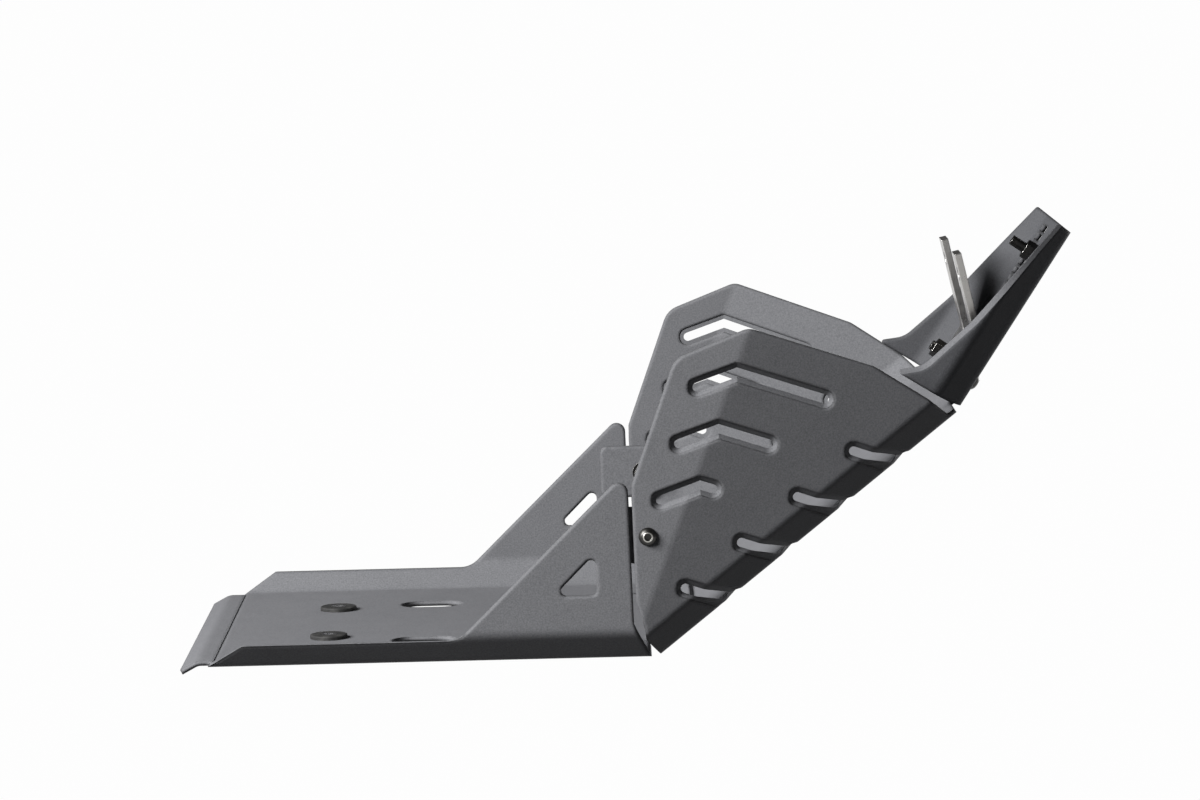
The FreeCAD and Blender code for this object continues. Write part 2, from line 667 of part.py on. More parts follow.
def fasteners():
    nodes = []
    strap_seat = 2 * stock + size("strap_stock")
    strap_y, lower_y = size("strap_y"), size("lower_screw_y")
    joints = [
        ("hanger", upper_frame, size("hanger_screw_u"), (-strap_y, strap_y), strap_seat, "long_screw"),
        ("lower_joint", middle_frame, size("lower_screw_u"), (-lower_y, lower_y), 2 * stock, "short_screw"),
        ("upper", upper_frame, upper_screw_u, (0.0,), stock, "long_screw"),
    ]
    for name, frame, u, places, grip, length in joints:
        ending = "s" if len(places) > 1 else ""
        screws = []
        nuts = []
        for i, y in enumerate(places):
            screws.append(button_screw(f"{name}_screw_{i}", seat_at(frame, u, y, 0.0, True), length))
            nuts.append(flange_nut(f"{name}_nut_{i}", seat_at(frame, u, y, grip, False)))
        nodes.append(group(f"{name}_screw{ending}", screws))
        nodes.append(group(f"{name}_nut{ending}", nuts))
    screws = []
    nuts = []
    for side in (-1, 1):
        turn = FreeCAD.Rotation(vec(1, 0, 0), -90 * side)
        spot = vec(size("side_screw_x"), side * guard_half, size("side_screw_z"))
        screws.append(button_screw(f"side_screw_{side + 1}", FreeCAD.Placement(spot, turn), "short_screw"))
        inside = vec(spot.x, side * (guard_half - 2 * stock), spot.z)
        back = FreeCAD.Rotation(vec(1, 0, 0), 90 * side)
        nuts.append(flange_nut(f"side_nut_{side + 1}", FreeCAD.Placement(inside, back)))
    nodes.append(group("side_screws", screws))
    nodes.append(group("side_nuts", nuts))
    return nodes


# A turned piece from its half profile of (radius, height) corners
def turned_piece(label, y, corners):
    body = new_body(label, ("0", f"{y}", "0"))
    profile = sketch_on(body, f"{label}_profile", "XZ_Plane")
    outline(profile, corners)
    spun = body.newObject("PartDesign::Revolution", f"{label}_spun")
    spun.Profile = profile
    spun.ReferenceAxis = (profile, ["V_Axis"])
    spun.Angle = 360.0
    doc.recompute()
    return body


def rear_mounts():
    bore, barrel = size("sleeve_bore") / 2, size("sleeve_dia") / 2
    neck, rim, lip = size("grommet_neck") / 2, size("grommet_dia") / 2, size("grommet_lip")
    flange, base = size("sleeve_flange") / 2, -lip - size("sleeve_flange_height")
    soft_round = size("grommet_round")
    soft = [(barrel, -lip, 0.0), (rim, -lip, soft_round), (rim, 0.0, 0.0), (neck, 0.0, 0.0),
            (neck, stock, 0.0), (rim, stock, 0.0), (rim, stock + lip, soft_round), (barrel, stock + lip, 0.0)]
    hard = [(bore, base, 0.0), (flange, base, size("sleeve_round")), (flange, -lip, 0.0), (barrel, -lip, 0.0),
            (barrel, stock + lip, 0.0), (bore, stock + lip, 0.0)]
    grommets = []
    sleeves = []
    for side in (-1, 1):
        y = side * size("rear_mount_y")
        grommets.append(turned_piece(f"rear_grommet_{side + 1}", y, soft))
        sleeves.append(turned_piece(f"rear_sleeve_{side + 1}", y, hard))
    return [group("rear_grommets", grommets), group("rear_sleeves", sleeves)]


nodes = [belly_panel(), middle_panel(), upper_panel()]
for side, hand in ((-1, "right"), (1, "left")):
    nodes.append(joint_plate(f"joint_plate_{hand}", side))
    nodes.append(hanger_strap(f"hanger_strap_{hand}", side))
nodes += fasteners()
nodes += rear_mounts()
doc.recompute()

failed = [item.Name for item in doc.Objects if {"Invalid", "Error"} & set(item.State)]
if failed:
    raise RuntimeError(f"failed objects: {failed}")
for node in nodes:
    if node.Shape.isNull() or not node.Shape.isValid():
        raise RuntimeError(f"bad shape: {node.Label}")
os.makedirs("parts", exist_ok=True)
for node in nodes:
    node.Shape.exportStep(f"parts/{node.Label}.step")
    print(node.Label, len(node.Shape.Solids), round(node.Shape.Volume), node.Shape.BoundBox)
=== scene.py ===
import math

import bmesh
import bpy
from mathutils import Matrix, Vector


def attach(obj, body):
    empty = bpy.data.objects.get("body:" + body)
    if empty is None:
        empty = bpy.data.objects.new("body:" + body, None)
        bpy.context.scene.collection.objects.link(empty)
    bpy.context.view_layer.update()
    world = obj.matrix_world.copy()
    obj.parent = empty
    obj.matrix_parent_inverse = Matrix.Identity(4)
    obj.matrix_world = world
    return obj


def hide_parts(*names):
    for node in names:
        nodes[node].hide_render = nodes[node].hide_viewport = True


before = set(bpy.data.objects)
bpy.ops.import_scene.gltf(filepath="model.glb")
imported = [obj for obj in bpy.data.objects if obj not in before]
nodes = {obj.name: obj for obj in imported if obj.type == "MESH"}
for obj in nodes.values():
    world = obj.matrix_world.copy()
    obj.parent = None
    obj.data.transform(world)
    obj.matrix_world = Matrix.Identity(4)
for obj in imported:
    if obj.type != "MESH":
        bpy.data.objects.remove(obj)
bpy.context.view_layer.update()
hands = (-1, 1)  # right and left
print("loaded", len(nodes), "pieces")


# one socket of a node tree, so that shader maths reads as plain expressions
class Wire:
    def __init__(self, tree, socket=None):
        self.tree = tree
        self.socket = socket

    # any node: its type, its settings, the values or links of its sockets, and the output that is wanted
    def make(self, kind, settings, sockets, out=0):
        node = self.tree.nodes.new(kind)
        for name, value in settings.items():
            setattr(node, name, value)
        for name, value in sockets.items():
            if isinstance(value, Wire):
                self.tree.links.new(value.socket, node.inputs[name])
            else:
                node.inputs[name].default_value = value
        return Wire(self.tree, node.outputs[out])

    def maths(self, operation, *values):
        return self.make("ShaderNodeMath", {"operation": operation}, dict(enumerate(values)))

    def __add__(self, other):
        return self.maths("ADD", self, other)

    def __radd__(self, other):
        return self.maths("ADD", other, self)

    def __sub__(self, other):
        return self.maths("SUBTRACT", self, other)

    def __rsub__(self, other):
        return self.maths("SUBTRACT", other, self)

    def __mul__(self, other):
        return self.maths("MULTIPLY", self, other)

    def __rmul__(self, other):
        return self.maths("MULTIPLY", other, self)

    def clamp(self):
        return self.make("ShaderNodeClamp", {}, {"Value": self, "Min": 0.0, "Max": 1.0})

    def ramp(self, low, high):
        return self.make("ShaderNodeMapRange", {"interpolation_type": "SMOOTHSTEP"},
                         {"Value": self, "From Min": low, "From Max": high})

    def vector(self, operation, *others, out=0):
        values = dict(enumerate((self, *others)))
        return self.make("ShaderNodeVectorMath", {"operation": operation}, values, out)

    def dot(self, other):
        return self.vector("DOT_PRODUCT", other, out="Value")

    def tint(self, first, second):
        return self.make("ShaderNodeMix", {"data_type": "RGBA"}, {"Factor": self, "A": first, "B": second},
                         "Result")

    def noise(self, scale, detail, **more):
        return self.make("ShaderNodeTexNoise", {},
                         {"Vector": self, "Scale": scale, "Detail": detail, **more})

    def bump(self, strength, distance, **more):
        return self.make("ShaderNodeBump", {},
                         {"Strength": strength, "Distance": distance, "Height": self, **more}, "Normal")


# a new finish with its shader, and the spot on the piece that its maths starts from
def newFinish(name, constants):
    material = bpy.data.materials.new(name)
    material.use_nodes = True
    tree = material.node_tree
    tree.nodes.clear()
    shader = tree.nodes.new("ShaderNodeBsdfPrincipled")
    output = tree.nodes.new("ShaderNodeOutputMaterial")
    tree.links.new(shader.outputs[0], output.inputs["Surface"])
    for socket, value in constants.items():
        shader.inputs[socket].default_value = value
    return material, shader, Wire(tree).make("ShaderNodeTexCoord", {}, {}, "Object")


def feed(shader, links):
    for socket, wire in links.items():
        wire.tree.links.new(wire.socket, shader.inputs[socket])


# the normal rounded over near edges, the face's own normal, and how far the two part
def nearEdges(spot, reach):
    rounded = spot.make("ShaderNodeBevel", {"samples": 8}, {"Radius": reach})
    facing = spot.make("ShaderNodeNewGeometry", {}, {}, "Normal")
    return rounded, facing, 1.0 - rounded.dot(facing)


# in the finishes below, a noise has its scale and detail, and a pair that ends in From says where a mask
# starts and where it is full. Noise is spread about its middle value
noiseMiddle = 0.5

# fine textured powder coat: grain, faint clouding, specks, and rims lightened both as rubbed wear and as a
# painted highlight
panelCoat = {
    "dark": (0.088, 0.089, 0.095, 1), "light": (0.135, 0.136, 0.143, 1), "rubAndHighlight": (0.30, 0.30, 0.31, 1),
    "grain": (1100.0, 3.0), "grit": 0.6, "cloud": (45.0, 3.0), "speck": (420.0, 1.0),
    "contrast": 2.6, "clouding": 0.35,
    "rubAndHighlightFrom": (0.1, 0.4), "rubAndHighlightBase": 0.1, "patchy": 0.5, "patchLevel": 0.3,
    "specular": 0.18, "rough": 0.74, "roughGrain": 0.25, "rubSmooth": 0.1,
    "bump": 0.35, "deep": 0.0002, "speckRelief": 0.6, "rim": 0.003, "roll": (2.0, 2.0, 2.0),
}
rimCoat = {**panelCoat, "rim": 0.0004, "roll": (1.0, 1.0, 1.0)}
# the upper panel's coat: darker and finer, with its rims lightened more strongly, as wear and as a painted
# highlight
upperCoat = {
    **panelCoat, "dark": (0.045, 0.046, 0.050, 1), "light": (0.070, 0.071, 0.076, 1),
    "grain": (1300.0, 3.0), "bump": 0.22, "roll": (2.5, 2.5, 2.5), "rubAndHighlightBase": 0.4,
}


def powderCoat(name, coat):
    material, shader, spot = newFinish(name, {"Specular IOR Level": coat["specular"]})
    grain = spot.noise(*coat["grain"], Roughness=coat["grit"])
    cloud = spot.noise(*coat["cloud"])
    speck = spot.noise(*coat["speck"])
    rounded, facing, turned = nearEdges(spot, coat["rim"])
    rim = rounded.vector("SUBTRACT", facing).vector("MULTIPLY_ADD", coat["roll"], facing).vector("NORMALIZE")
    # edges are lightened toward the rub tone: partly rubbed wear, partly a painted highlight standing in for
    # cut edges that catch the light
    patches = (coat["rubAndHighlightBase"] + coat["patchy"] * (speck - coat["patchLevel"])).clamp()
    rubAndHighlight = turned.ramp(*coat["rubAndHighlightFrom"]) * patches
    spread = coat["contrast"] * (grain - noiseMiddle) + coat["clouding"] * (cloud - noiseMiddle)
    shade = (noiseMiddle + spread).clamp()
    colour = rubAndHighlight.tint(shade.tint(coat["dark"], coat["light"]), coat["rubAndHighlight"])
    rough = coat["rough"] + coat["roughGrain"] * (grain - noiseMiddle) - coat["rubSmooth"] * rubAndHighlight
    relief = grain + coat["speckRelief"] * speck
    feed(shader, {"Base Color": colour, "Roughness": rough,
                  "Normal": relief.bump(coat["bump"], coat["deep"], Normal=rim)})
    return material


# zinc-plated strap: brushed along its length, cloudy plating, and a painted highlight that lightens its
# edges
strapPlate = {
    "dark": (0.30, 0.29, 0.28, 1), "light": (0.52, 0.51, 0.49, 1), "edge": (0.80, 0.79, 0.77, 1),
    "drawn": (1500.0, 1500.0, 60.0), "brush": (1.0, 3.0), "cloud": (160.0, 4.0),
    "rim": 0.0008, "edgeFrom": (0.02, 0.3), "cloudShare": 0.6, "brushShare": 0.4,
    "rough": 0.3, "roughBrush": 0.25, "roughCloud": 0.2, "cloudLevel": 0.4, "bump": 0.15, "deep": 0.0001,
}


def platedSteel(name, plate):
    material, shader, spot = newFinish(name, {"Metallic": 1.0})
    drawn = spot.make("ShaderNodeMapping", {}, {"Vector": spot, "Scale": plate["drawn"]})
    brush = drawn.noise(*plate["brush"])
    cloud = spot.noise(*plate["cloud"])
    rounded, _, turned = nearEdges(spot, plate["rim"])
    tone = (plate["cloudShare"] * cloud + plate["brushShare"] * brush).tint(plate["dark"], plate["light"])
    # the edges are tinted bright: a painted highlight along the strap's corners
    colour = turned.ramp(*plate["edgeFrom"]).tint(tone, plate["edge"])
    clouding = plate["roughCloud"] * (cloud - plate["cloudLevel"])
    rough = plate["rough"] + plate["roughBrush"] * (brush - noiseMiddle) + clouding
    feed(shader, {"Base Color": colour, "Roughness": rough,
                  "Normal": brush.bump(plate["bump"], plate["deep"], Normal=rounded)})
    return material


# dark screws and nuts, bright where a spanner has rubbed their edges. The side screws have a bare ring round
# the socket instead
boltBlack = {
    "dark": (0.030, 0.029, 0.028, 1), "light": (0.075, 0.073, 0.070, 1), "worn": (0.62, 0.61, 0.59, 1),
    "grain": (900.0, 4.0), "patches": (350.0, 2.0),
    "rim": 0.0004, "edgeFrom": (0.03, 0.3), "bareFrom": (0.35, 0.6),
    "rough": 0.34, "roughGrain": 0.2, "wornSmooth": 0.08, "bump": 0.1, "deep": 0.0001,
}
sideBolt = {
    **boltBlack, "worn": (0.50, 0.49, 0.46, 1), "bareFrom": (0.2, 0.4), "rough": 0.42,
    "axis": (0.1876, 0.0, 0.0714), "ring": (0.0022, 0.0028), "blur": 0.0002,
}


def socketRing(spot, bolt):
    flat = spot.vector("SUBTRACT", bolt["axis"]).vector("MULTIPLY", (1.0, 0.0, 1.0))
    radius = flat.vector("LENGTH", out="Value")
    inner, outer = [(edge - bolt["blur"], edge + bolt["blur"]) for edge in bolt["ring"]]
    return radius.ramp(*inner) * (1.0 - radius.ramp(*outer))


def darkSteel(name, bolt):
    material, shader, spot = newFinish(name, {"Metallic": 1.0})
    grain = spot.noise(*bolt["grain"])
    patches = spot.noise(*bolt["patches"])
    rounded, _, turned = nearEdges(spot, bolt["rim"])
    bare = socketRing(spot, bolt) if "ring" in bolt else turned.ramp(*bolt["edgeFrom"])
    worn = bare * patches.ramp(*bolt["bareFrom"])
    colour = worn.tint(grain.tint(bolt["dark"], bolt["light"]), bolt["worn"])
    rough = bolt["rough"] + bolt["roughGrain"] * (grain - noiseMiddle) - bolt["wornSmooth"] * worn
    feed(shader, {"Base Color": colour, "Roughness": rough,
                  "Normal": grain.bump(bolt["bump"], bolt["deep"], Normal=rounded)})
    return material


# moulded rubber: matt, faintly grey where dust settles
grommetRubber = {
    "dark": (0.012, 0.012, 0.012, 1), "dusty": (0.045, 0.044, 0.042, 1),
    "skin": (1400.0, 3.0), "dust": (220.0, 3.0), "dustFrom": (0.45, 0.7), "dustShare": 0.6, "skinShare": 0.2,
    "specular": 0.3, "rough": 0.72, "roughSkin": 0.2, "bump": 0.2, "deep": 0.0001,
}


def mouldedRubber(name, rubber):
    material, shader, spot = newFinish(name, {"Specular IOR Level": rubber["specular"]})
    skin = spot.noise(*rubber["skin"])
    dust = spot.noise(*rubber["dust"]).ramp(*rubber["dustFrom"])
    shade = (dust * rubber["dustShare"] + rubber["skinShare"] * skin).clamp()
    colour = shade.tint(rubber["dark"], rubber["dusty"])
    rough = rubber["rough"] + rubber["roughSkin"] * (skin - noiseMiddle)
    feed(shader, {"Base Color": colour, "Roughness": rough,
                  "Normal": skin.bump(rubber["bump"], rubber["deep"])})
    return material


# turned alloy sleeves: fine tool rings about each sleeve's own axis
sleeveTurned = {
    "dark": (0.50, 0.50, 0.51, 1), "light": (0.72, 0.72, 0.73, 1), "aside": 0.055,
    "pitch": 2600.0, "waveHalf": 0.5, "cloud": (300.0, 3.0), "ringShare": 0.5, "cloudShare": 0.5,
    "rough": 0.26, "roughCloud": 0.15, "cloudLevel": 0.4, "bump": 0.12, "deep": 0.00005,
}


def turnedAlloy(name, sleeve):
    material, shader, spot = newFinish(name, {"Metallic": 1.0})
    across = spot.make("ShaderNodeSeparateXYZ", {}, {0: spot}, "Y")
    along = spot.make("ShaderNodeSeparateXYZ", {}, {0: spot}, "X")
    mirrored = spot.maths("ABSOLUTE", across) - sleeve["aside"]
    radius = spot.maths("SQRT", mirrored * mirrored + along * along)
    wave = spot.maths("SINE", radius * sleeve["pitch"] * math.tau)
    rings = wave * sleeve["waveHalf"] + sleeve["waveHalf"]
    cloud = spot.noise(*sleeve["cloud"])
    tone = sleeve["ringShare"] * rings + sleeve["cloudShare"] * cloud
    colour = tone.tint(sleeve["dark"], sleeve["light"])
    rough = sleeve["rough"] + sleeve["roughCloud"] * (cloud - sleeve["cloudLevel"])
    feed(shader, {"Base Color": colour, "Roughness": rough,
                  "Normal": rings.bump(sleeve["bump"], sleeve["deep"])})
    return material


finishes = {
    "coat": powderCoat("panelPowderCoat", panelCoat),
    "upper": powderCoat("upperPowderCoat", upperCoat),
    "rim": powderCoat("rimPowderCoat", rimCoat),
    "strap": platedSteel("strapZinc", strapPlate),
    "bolt": darkSteel("boltBlack", boltBlack),
    "sideBolt": darkSteel("sideBoltWorn", sideBolt),
    "rubber": mouldedRubber("grommetRubber", grommetRubber),
    "sleeve": turnedAlloy("sleeveTurned", sleeveTurned),
}
wears = {
    "belly_panel": "coat", "middle_panel": "coat", "upper_panel": "upper",
    "joint_plate_right": "coat", "joint_plate_left": "coat",
    "hanger_strap_right": "strap", "hanger_strap_left": "strap",
    "side_screws": "sideBolt", "rear_grommets": "rubber", "rear_sleeves": "sleeve",
}
for name, piece in nodes.items():
    finish = finishes[wears.get(name, "bolt")]
    piece.data.materials.clear()
    piece.data.materials.append(finish)
print("finishes laid on")


# the middle panel: where its plate starts and how it slopes, its half width at the wings, the lean of the
# wings and the height and rise of their fold, and the bevel between wing and plate. All is measured along
# the plate and inward from it
middleSheet = {
    "at": (0.1937, 0.0, 0.0009), "slope": 37.35, "half": 0.152, "lean": 0.18, "fold": 0.0205, "rise": 0.6102,
    "bevel": 0.0161, "bevelRise": 1.202, "soften": 0.002, "bend": 0.009,
}
# its slots, three chevrons and four front slots on each side, and the chamfer that runs round each of them
slotRims = {
    "half": 0.005, "fall": 56.9,  # half a slot's width, and its slope in degrees
    "turns": 14, "stride": 0.0008, "fewest": 2,  # steps of the mesh
    "wide": 0.0024, "sunk": 0.0024, "deep": 0.0029, "tuck": 0.0003, "skin": 0.0001,  # the chamfer's section
    "chevrons": 3, "chevronAt": (0.1353, 0.1010), "chevronStep": (0.0281, 0.0186),
    "chevronRear": (0.0228, 0.0075), "chevronLong": 0.0525, "chevronShorter": 0.0225,
    "fronts": 4, "frontAt": (0.0370, 0.0228), "frontPitch": 0.0411, "frontReach": 0.025,
    "frontPlane": 0.161,  # how far out the side's cut was drawn
    "blend": 0.015, "fade": (0.0034, 0.0046),  # where the side's cut is led over to the plate's
}


def softMin(first, second, reach):
    near = max(reach - abs(first - second), 0.0) / reach
    return min(first, second) - near * near * reach / 4


# how far out from the middle the plate's folded corner would lie, bevel left aside
def sheetCorner(sheet, along):
    return sheet["half"] - sheet["lean"] * (sheet["fold"] + sheet["rise"] * along)


def wingFace(sheet, along, inward):
    corner = sheetCorner(sheet, along)
    wing = min(sheet["half"], corner + sheet["lean"] * inward)
    return softMin(wing, corner - sheet["bevel"] + sheet["bevelRise"] * inward, sheet["soften"])


# a point of a panel's own measures in the shared frame
def sheetPoint(sheet, along, across, inward):
    slope = math.radians(sheet["slope"])
    lift = Vector((math.cos(slope), 0.0, math.sin(slope))) * along
    return Vector(sheet["at"]) + lift + Vector((-math.sin(slope) * inward, across, math.cos(slope) * inward))


# half of a round end, from one edge of a slot to the other, with the point that each spot faces
def roundEnd(centre, first, rims):
    sweep = [-math.pi * step / rims["turns"] for step in range(rims["turns"])]
    return [(centre + Matrix.Rotation(turn, 2) @ first, centre) for turn in sweep]


# the way that a slot runs down the side
def slotRun(rims):
    fall = math.radians(rims["fall"])
    return Vector((math.cos(fall), -math.sin(fall)))


# a chevron's edge as pairs of a rim spot and the spot of the centre line that it faces
def chevronEdge(line, rims):
    runs = [(b - a).normalized() for a, b in zip(line, line[1:])]
    mitres = []
    for index in range(len(line)):
        before, after = runs[max(index - 1, 0)], runs[min(index, len(runs) - 1)]
        halfway = (before + after).normalized()
        mitres.append(Vector((-halfway.y, halfway.x)) * rims["half"] / halfway.dot(after))

    def side(sign, order):
        pairs = []
        for a, b in zip(order, order[1:]):
            count = max(rims["fewest"], round((line[b] - line[a]).length / rims["stride"]))
            for step in range(count):
                centre = line[a].lerp(line[b], step / count)
                pairs.append((centre + sign * mitres[a].lerp(mitres[b], step / count), centre))
        return pairs

    forward = list(range(len(line)))
    upper = side(1, forward) + roundEnd(line[-1], mitres[-1], rims)
    return upper + side(-1, forward[::-1]) + roundEnd(line[0], -mitres[0], rims)


# a front slot runs down the side, round the bend and into the plate. A spot of it is measured from the
# slot's centre line and up the side, or across the plate where it lies below zero. The cut in the side lies
# a little lower than the one in the plate, and on the bevel its upper edge is led over to the plate's
class FrontSlot:
    def __init__(self, sheet, rims, index, hand):
        self.sheet, self.rims, self.hand = sheet, rims, hand
        self.fall = math.tan(math.radians(rims["fall"]))
        self.run = slotRun(rims)
        self.head = Vector(rims["frontAt"]) + Vector((index * rims["frontPitch"], 0.0))
        self.foot = self.head.x + self.head.y / self.fall
        self.taper = math.atan(sheet["lean"] * sheet["rise"])
        self.skew = 1.0 - math.tan(self.taper) / self.fall
        self.tilt = math.atan2(1.0, sheet["bevelRise"])
        self.reach = sheet["bend"] * math.tan(self.tilt / 2)
        self.lift = self.reach * math.sin(self.tilt)

    # how far along the plate a spot lies, by the cut in the side and by the cut in the plate
    def onSide(self, spot):
        level = wingFace(self.sheet, self.head.x, spot.y) + math.tan(self.taper) * self.head.x
        drawn = self.head.x + (self.head.y - spot.y) / self.fall + spot.x
        return (drawn - math.sin(self.taper) * (self.rims["frontPlane"] - level)) * math.cos(self.taper)

    def onPlate(self, spot):
        return self.foot + (spot.x - spot.y / self.fall) / self.skew

    # settled spots lie on the finished edge, others on the edge of the side's own cut
    def along(self, spot, settled):
        crossing = Vector((spot.x, 0.0))
        slip = self.onPlate(crossing) - self.onSide(crossing)
        if spot.y > 0:
            led = slip * max(0.0, 1 - spot.y / self.rims["blend"])
            return self.onSide(spot) + (led if settled else 0.0)
        full, none = self.rims["fade"]
        share = min(1.0, max(0.0, (spot.y + none) / (none - full)))
        return self.onPlate(spot) - (0.0 if settled else slip * share)

    # a spot's place a depth below the sheet's face
    def place(self, spot, depth, settled=True):
        sheet = self.sheet
        along = self.along(spot, settled)
        crease = sheetCorner(sheet, along) - sheet["bevel"]
        share = min(1.0, max(0.0, (spot.y + self.reach) / (self.lift + self.reach)))
        if share == 1.0:
            out, inward = wingFace(sheet, along, spot.y), spot.y
        elif share == 0.0:
            out, inward = crease + spot.y, 0.0
        else:
            turn = self.tilt * share
            out = crease - self.reach + sheet["bend"] * math.sin(turn)
            inward = sheet["bend"] * (1 - math.cos(turn))
        aside = depth * math.sin(share * math.pi / 2)
        inward += depth * math.cos(share * math.pi / 2)
        out -= aside * math.cos(self.taper)
        return sheetPoint(sheet, along - aside * math.sin(self.taper), self.hand * out, inward)

    # the slot's edge as pairs of a rim spot and the spot of the centre line that it faces
    def edge(self):
        rims = self.rims
        across = Vector((-self.run.y, self.run.x)) * rims["half"]
        end = Vector((rims["frontReach"] / self.fall, -rims["frontReach"]))

        def fromSide(spot):
            return Vector((spot.x - self.head.x - (self.head.y - spot.y) / self.fall, spot.y))

        def fromPlate(spot):
            return Vector((spot.x + spot.y / self.fall, spot.y + math.tan(self.taper) * spot.x))

        def straight(first, last):
            count = round(abs(last.y - first.y) / rims["stride"])
            spots = [first.lerp(last, step / count) for step in range(count)]
            return [(spot, Vector((0.0, spot.y))) for spot in spots]

        tail = [(fromPlate(a), fromPlate(b)) for a, b in roundEnd(end, across, rims)]
        top = [(fromSide(a), fromSide(b)) for a, b in roundEnd(self.head, -across, rims)]
        upper = straight(fromSide(self.head + across), fromPlate(end + across))
        lower = straight(fromPlate(end - across), fromSide(self.head - across))
        return upper + tail + lower + top


# rows of points round a section, joined into a closed ring or a bar with closed ends
def addRing(mesh, spots, closed):
    rows = [[mesh.verts.new(spot) for spot in row] for row in spots]
    pairs = list(zip(rows, rows[1:] + rows[:1])) if closed else list(zip(rows, rows[1:]))
    for row, after in pairs:
        for k in range(len(row)):
            mesh.faces.new((row[k - 1], row[k], after[k], after[k - 1]))
    if not closed:
        mesh.faces.new(rows[0])
        mesh.faces.new(rows[-1][::-1])


# one rim: a chamfer from the sheet's face down into the slot, closed at the back
def addRim(mesh, edge, rims, place):
    spots = []
    for spot, centre in edge:
        inner = spot.lerp(centre, rims["wide"] / rims["half"])
        outer = spot.lerp(centre, -rims["tuck"] / rims["half"])
        settled = spot.x > centre.x
        spots.append([place(outer, rims["skin"], settled), place(spot, rims["skin"]),
                      place(inner, rims["skin"] + rims["sunk"]), place(inner, rims["deep"]),
                      place(outer, rims["deep"], settled)])
    addRing(mesh, spots, True)


# a finished piece of sheet from its mesh
def sheetPiece(name, mesh, wanted):
    bmesh.ops.recalc_face_normals(mesh, faces=mesh.faces)
    data = bpy.data.meshes.new(name)
    mesh.to_mesh(data)
    mesh.free()
    for finish in wanted:
        data.materials.append(finishes[finish])
    piece = bpy.data.objects.new(name, data)
    bpy.context.scene.collection.objects.link(piece)
    return piece


def slotRimPiece(sheet, rims, fronts):
    mesh = bmesh.new()
    for hand in hands:
        def onWing(spot, depth, settled=True):
            return sheetPoint(sheet, spot.x, hand * (wingFace(sheet, spot.x, spot.y) - depth), spot.y)

        for index in range(rims["chevrons"]):
            bend = Vector(rims["chevronAt"]) - index * Vector(rims["chevronStep"])
            rear = bend + Vector((-rims["chevronRear"][0], rims["chevronRear"][1]))
            front = bend + slotRun(rims) * (rims["chevronLong"] - index * rims["chevronShorter"])
            addRim(mesh, chevronEdge([rear, bend, front], rims), rims, onWing)
    for slot in fronts:
        addRim(mesh, slot.edge(), rims, slot.place)
    piece = sheetPiece("slot_rims", mesh, ["rim"])
    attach(piece, "root")


# carved sheets: corners nearer than the weld are one, faces whose normals agree this well share a bend, and
# faces whose normals agree to these digits are one plane
carving = {"weld": 0.000001, "sameBend": 0.87, "digits": 3}


# normals that keep flat faces flat and run smoothly round bends: at each corner the wider plane counts most
def softNormals(data):
    mesh = bmesh.new()
    mesh.from_mesh(data)
    planes = [tuple(round(part, carving["digits"]) for part in face.normal) for face in mesh.faces]
    areas = {}
    for face, plane in zip(mesh.faces, planes):
        areas[plane] = areas.get(plane, 0.0) + face.calc_area()
    normals = []
    for face in mesh.faces:
        for corner in face.loops:
            beside = corner.vert.link_faces
            near = [other for other in beside if other.normal.dot(face.normal) > carving["sameBend"]]
            total = sum((other.normal * areas[planes[other.index]] ** 2 for other in near), Vector())
            normals.append(total.normalized())
    mesh.free()
    data.shade_smooth()
    data.normals_split_custom_set(normals)


# a panel's sheet with the knives taken away, in place of its node
def carvedSheet(name, node, knives, wanted):
    knife = sheetPiece("knives", knives, wanted)
    whole = bmesh.new()
    whole.from_mesh(nodes[node].data)
    bmesh.ops.remove_doubles(whole, verts=whole.verts, dist=carving["weld"])
    piece = sheetPiece(name, whole, wanted)
    shave = piece.modifiers.new("carve", "BOOLEAN")
    shave.object = knife
    shave.solver = "EXACT"
    carved = piece.evaluated_get(bpy.context.evaluated_depsgraph_get())
    piece.data = bpy.data.meshes.new_from_object(carved)
    piece.modifiers.clear()
    bpy.data.objects.remove(knife)
    softNormals(piece.data)
    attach(piece, "root")
    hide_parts(node)


# the middle panel's sheet with the upper edge of each front slot flared on the bevel, to meet the slot in
# the plate. The knives run between these heights up the side, and from before the face to beyond the sheet
slotFlare = {
    "from": -0.002, "to": 0.0152, "inside": 0.001, "spare": 0.00002, "before": -0.0015, "beyond": 0.006,
}


def slottedSheet(rims, flare, fronts):
    knives = bmesh.new()
    far = rims["half"] / math.sin(math.radians(rims["fall"])) - flare["spare"]
    count = round((flare["to"] - flare["from"]) / rims["stride"])
    for slot in fronts:
        spots = []
        for step in range(count + 1):
            up = flare["from"] + (flare["to"] - flare["from"]) * step / count
            near, edge = Vector((flare["inside"], up)), Vector((far, up))
            spots.append([slot.place(near, flare["before"]), slot.place(edge, flare["before"]),
                          slot.place(edge, flare["beyond"]), slot.place(near, flare["beyond"])])
        addRing(knives, spots, False)
    carvedSheet("middle_sheet", "middle_panel", knives, ["coat"])


# the upper panel, measured as the middle one is, and the chamfer along the outer edge of its wings. The
# chamfer's path has the radius of each corner and runs out past both ends of the panel
upperSheet = {
    "at": (0.3711, 0.0, 0.1329), "slope": 55.8, "half": 0.075, "toe": 0.1017,
    "bevel": 0.017, "tilt": 45.0, "bend": 0.009,
}
upperChamfer = {
    "path": ((0.122, 0.0097, 0.0), (0.045, 0.0226, 0.090), (0.0082, 0.0328, 0.016), (-0.005, 0.0477, 0.0)),
    "wide": 0.0027, "deep": 0.0022, "spare": 0.4, "stride": 0.0015, "fewest": 4,
}


